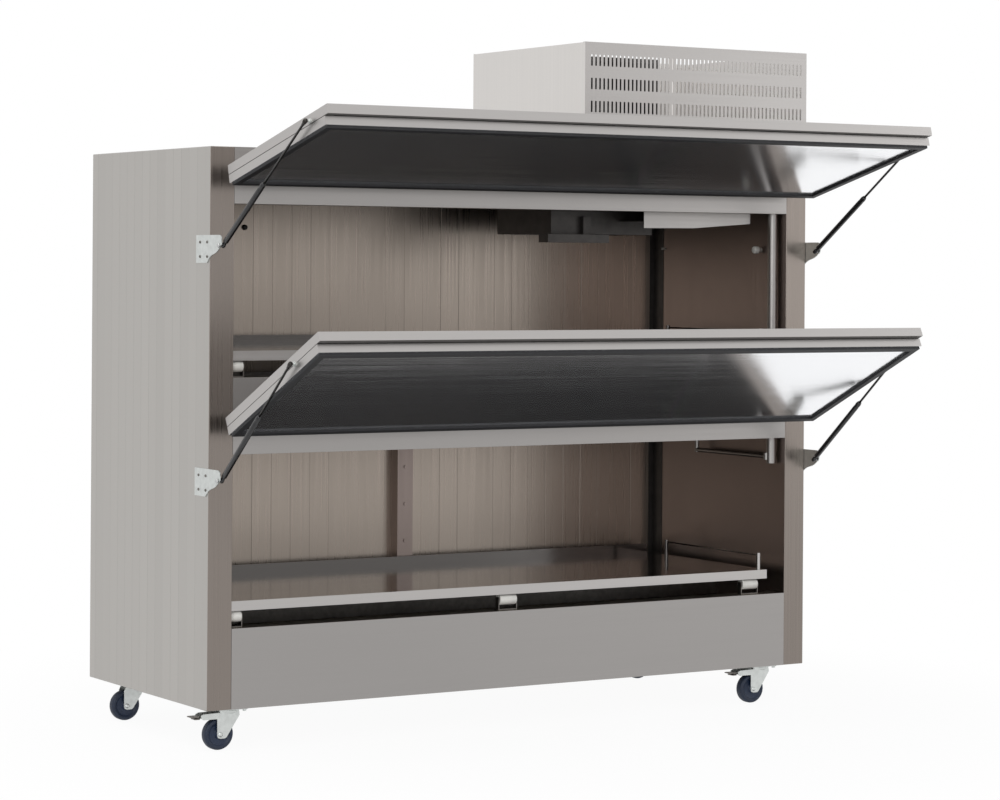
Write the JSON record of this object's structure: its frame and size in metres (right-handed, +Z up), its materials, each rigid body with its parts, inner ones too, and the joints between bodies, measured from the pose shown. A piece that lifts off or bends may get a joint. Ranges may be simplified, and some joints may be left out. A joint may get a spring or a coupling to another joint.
{
  "type": "proofing cabinet",
  "caption": "Wide insulated dough proofing cabinet on castors, with lift-up flap doors, pull-out trays and a climate unit on the roof.",
  "frame": {"origin": "on the floor, on the middle plane of the body, halfway from the back panel to the front edge of the lifted flaps", "axes": "+X to the right seen from the front, +Y from the front towards the back, +Z up"},
  "size_m": [2.372, 1.613, 2.279],
  "materials": {
    "outer_stainless": "satin",
    "inner_stainless": "satin",
    "bright_stainless": "satin",
    "foam": "matte",
    "zinc_steel": "satin",
    "dark_steel": "satin",
    "black_paint": "satin",
    "seal_rubber": "matte",
    "white_nylon": "matte",
    "castor_tread": "matte",
    "grey_cooler": "satin",
    "black_plastic": "matte"
  },
  "bodies": {
    "cabinet": {"side_panels": "outer_stainless", "back_panel": "outer_stainless", "roof_panel": "outer_stainless", "base_panel": "inner_stainless", "mid_deck": "inner_stainless", "top_header": "outer_stainless", "front_aprons": "outer_stainless", "insulation_cores": "foam", "body_hinges": "zinc_steel", "strut_brackets": "zinc_steel", "bracket_fixings": "zinc_steel", "roller_brackets": "zinc_steel", "castor_plates": "zinc_steel", "evaporator_housing": "grey_cooler", "drip_tray": "bright_stainless", "pipework": "bright_stainless", "wall_fittings": "white_nylon", "rear_upright": "inner_stainless", "climate_front": "bright_stainless", "climate_walls": "bright_stainless", "compressor": "black_paint", "condenser": "grey_cooler", "electrical_box": "grey_cooler", "steam_generator": "bright_stainless"},
    "upper_flap": {"upper_flap_skin": "outer_stainless", "upper_flap_liner": "inner_stainless", "upper_flap_core": "foam", "upper_flap_seal": "seal_rubber", "upper_flap_fittings": "zinc_steel"},
    "lower_flap": {"lower_flap_skin": "outer_stainless", "lower_flap_liner": "inner_stainless", "lower_flap_core": "foam", "lower_flap_seal": "seal_rubber", "lower_flap_fittings": "zinc_steel"},
    "upper_left_strut_tube": {"upper_left_tube": "black_paint"},
    "upper_left_strut_rod": {"upper_left_rod": "dark_steel"},
    "upper_right_strut_tube": {"upper_right_tube": "black_paint"},
    "upper_right_strut_rod": {"upper_right_rod": "dark_steel"},
    "lower_left_strut_tube": {"lower_left_tube": "black_paint"},
    "lower_left_strut_rod": {"lower_left_rod": "dark_steel"},
    "lower_right_strut_tube": {"lower_right_tube": "black_paint"},
    "lower_right_strut_rod": {"lower_right_rod": "dark_steel"},
    "upper_tray_body": {"upper_tray": "bright_stainless"},
    "upper_front_roller_set": {"upper_front_rollers": "white_nylon"},
    "upper_rear_roller_set": {"upper_rear_rollers": "white_nylon"},
    "lower_tray_body": {"lower_tray": "bright_stainless"},
    "lower_front_roller_set": {"lower_front_rollers": "white_nylon"},
    "lower_rear_roller_set": {"lower_rear_rollers": "white_nylon"},
    "condenser_rotor": {"condenser_fan": "black_plastic"},
    "evaporator_rotor": {"evaporator_fan": "black_plastic"},
    "front_left_castor": {"front_left_fork": "zinc_steel"},
    "front_left_wheel_body": {"front_left_wheel": "castor_tread"},
    "front_right_castor": {"front_right_fork": "zinc_steel"},
    "front_right_wheel_body": {"front_right_wheel": "castor_tread"},
    "back_left_castor": {"back_left_fork": "zinc_steel"},
    "back_left_wheel_body": {"back_left_wheel": "castor_tread"},
    "back_right_castor": {"back_right_fork": "zinc_steel"},
    "back_right_wheel_body": {"back_right_wheel": "castor_tread"},
    "front_left_pedal_body": {"front_left_pedal": "zinc_steel"},
    "front_right_pedal_body": {"front_right_pedal": "zinc_steel"}
  },
  "joints": [
    {"name": "upper_flap_hinge", "type": "hinge", "parent": "cabinet", "child": "upper_flap", "pos_m": [0, -0.14049, 1.808], "axis": [-1, 0, 0], "range_deg": [-104.3, 0]},
    {"name": "lower_flap_hinge", "type": "hinge", "parent": "cabinet", "child": "lower_flap", "pos_m": [0, -0.14049, 1.023], "axis": [-1, 0, 0], "range_deg": [-115, 0]},
    {"name": "upper_left_tube_pivot", "type": "hinge", "parent": "cabinet", "child": "upper_left_strut_tube", "pos_m": [-1.1515, -0.16049, 1.58], "axis": [-1, 0, 0], "range_deg": [-128.6, 0.2]},
    {"name": "upper_left_rod_slide", "type": "slide", "parent": "upper_left_strut_tube", "child": "upper_left_strut_rod", "axis": [0, -0.8267, 0.5626], "range_m": [-0.3031, 0.0002]},
    {"name": "upper_right_tube_pivot", "type": "hinge", "parent": "cabinet", "child": "upper_right_strut_tube", "pos_m": [1.1515, -0.16049, 1.58], "axis": [-1, 0, 0], "range_deg": [-128.6, 0.2]},
    {"name": "upper_right_rod_slide", "type": "slide", "parent": "upper_right_strut_tube", "child": "upper_right_strut_rod", "axis": [0, -0.8267, 0.5626], "range_m": [-0.3031, 0.0002]},
    {"name": "lower_left_tube_pivot", "type": "hinge", "parent": "cabinet", "child": "lower_left_strut_tube", "pos_m": [-1.1515, -0.16049, 0.852], "axis": [-1, 0, 0], "range_deg": [-135.7, 0.2]},
    {"name": "lower_left_rod_slide", "type": "slide", "parent": "lower_left_strut_tube", "child": "lower_left_strut_rod", "axis": [0, -0.7687, 0.6396], "range_m": [-0.2431, 0.0002]},
    {"name": "lower_right_tube_pivot", "type": "hinge", "parent": "cabinet", "child": "lower_right_strut_tube", "pos_m": [1.1515, -0.16049, 0.852], "axis": [-1, 0, 0], "range_deg": [-135.7, 0.2]},
    {"name": "lower_right_rod_slide", "type": "slide", "parent": "lower_right_strut_tube", "child": "lower_right_strut_rod", "axis": [0, -0.7687, 0.6396], "range_m": [-0.2431, 0.0002]},
    {"name": "upper_tray_slide", "type": "slide", "parent": "cabinet", "child": "upper_tray_body", "axis": [0, -1, 0], "range_m": [0, 0.3]},
    {"name": "upper_front_rollers_spin", "type": "hinge", "parent": "cabinet", "child": "upper_front_roller_set", "pos_m": [0, -0.05049, 1.2019], "axis": [1, 0, 0], "range_deg": [-2, 960]},
    {"name": "upper_rear_rollers_spin", "type": "hinge", "parent": "cabinet", "child": "upper_rear_roller_set", "pos_m": [0, 0.32951, 1.2019], "axis": [1, 0, 0], "range_deg": [-2, 960]},
    {"name": "lower_tray_slide", "type": "slide", "parent": "cabinet", "child": "lower_tray_body", "axis": [0, -1, 0], "range_m": [0, 0.3]},
    {"name": "lower_front_rollers_spin", "type": "hinge", "parent": "cabinet", "child": "lower_front_roller_set", "pos_m": [0, -0.05049, 0.4169], "axis": [1, 0, 0], "range_deg": [-2, 960]},
    {"name": "lower_rear_rollers_spin", "type": "hinge", "parent": "cabinet", "child": "lower_rear_roller_set", "pos_m": [0, 0.32951, 0.4169], "axis": [1, 0, 0], "range_deg": [-2, 960]},
    {"name": "condenser_fan_spin", "type": "hinge", "parent": "cabinet", "child": "condenser_rotor", "pos_m": [0.4105, 0.09951, 2.08], "axis": [0, 1, 0], "continuous": true},
    {"name": "evaporator_fan_spin", "type": "hinge", "parent": "cabinet", "child": "evaporator_rotor", "pos_m": [0.4675, 0.33451, 1.674], "axis": [0, 0, 1], "continuous": true},
    {"name": "front_left_swivel", "type": "hinge", "parent": "cabinet", "child": "front_left_castor", "pos_m": [-1.0635, -0.04049, 0.12], "axis": [0, 0, 1], "continuous": true},
    {"name": "front_left_wheel_spin", "type": "hinge", "parent": "front_left_castor", "child": "front_left_wheel_body", "pos_m": [-1.1015, -0.04049, 0.05], "axis": [0, 1, 0], "continuous": true},
    {"name": "front_right_swivel", "type": "hinge", "parent": "cabinet", "child": "front_right_castor", "pos_m": [1.0065, -0.04049, 0.12], "axis": [0, 0, 1], "continuous": true},
    {"name": "front_right_wheel_spin", "type": "hinge", "parent": "front_right_castor", "child": "front_right_wheel_body", "pos_m": [0.9685, -0.04049, 0.05], "axis": [0, 1, 0], "continuous": true},
    {"name": "back_left_swivel", "type": "hinge", "parent": "cabinet", "child": "back_left_castor", "pos_m": [-1.0635, 0.65751, 0.12], "axis": [0, 0, 1], "continuous": true},
    {"name": "back_left_wheel_spin", "type": "hinge", "parent": "back_left_castor", "child": "back_left_wheel_body", "pos_m": [-1.1015, 0.65751, 0.05], "axis": [0, 1, 0], "continuous": true},
    {"name": "back_right_swivel", "type": "hinge", "parent": "cabinet", "child": "back_right_castor", "pos_m": [1.0065, 0.65751, 0.12], "axis": [0, 0, 1], "continuous": true},
    {"name": "back_right_wheel_spin", "type": "hinge", "parent": "back_right_castor", "child": "back_right_wheel_body", "pos_m": [0.9685, 0.65751, 0.05], "axis": [0, 1, 0], "continuous": true},
    {"name": "front_left_pedal_pivot", "type": "hinge", "parent": "front_left_castor", "child": "front_left_pedal_body", "pos_m": [-1.0835, -0.04049, 0.106], "axis": [0, -1, 0], "range_deg": [0, 6]},
    {"name": "front_right_pedal_pivot", "type": "hinge", "parent": "front_right_castor", "child": "front_right_pedal_body", "pos_m": [0.9865, -0.04049, 0.106], "axis": [0, -1, 0], "range_deg": [0, 6]}
  ],
  "couplings": [
    {"joint": "upper_left_tube_pivot", "follows": "upper_flap_hinge", "ratio": 1.231},
    {"joint": "upper_left_rod_slide", "follows": "upper_flap_hinge", "m_per_rad": 0.16637},
    {"joint": "upper_right_tube_pivot", "follows": "upper_flap_hinge", "ratio": 1.231},
    {"joint": "upper_right_rod_slide", "follows": "upper_flap_hinge", "m_per_rad": 0.16637},
    {"joint": "lower_left_tube_pivot", "follows": "lower_flap_hinge", "ratio": 1.1777},
    {"joint": "lower_left_rod_slide", "follows": "lower_flap_hinge", "m_per_rad": 0.12097},
    {"joint": "lower_right_tube_pivot", "follows": "lower_flap_hinge", "ratio": 1.1777},
    {"joint": "lower_right_rod_slide", "follows": "lower_flap_hinge", "m_per_rad": 0.12097},
    {"joint": "upper_front_rollers_spin", "follows": "upper_tray_slide", "rad_per_m": 55.556},
    {"joint": "upper_rear_rollers_spin", "follows": "upper_tray_slide", "rad_per_m": 55.556},
    {"joint": "lower_front_rollers_spin", "follows": "lower_tray_slide", "rad_per_m": 55.556},
    {"joint": "lower_rear_rollers_spin", "follows": "lower_tray_slide", "rad_per_m": 55.556}
  ]
}
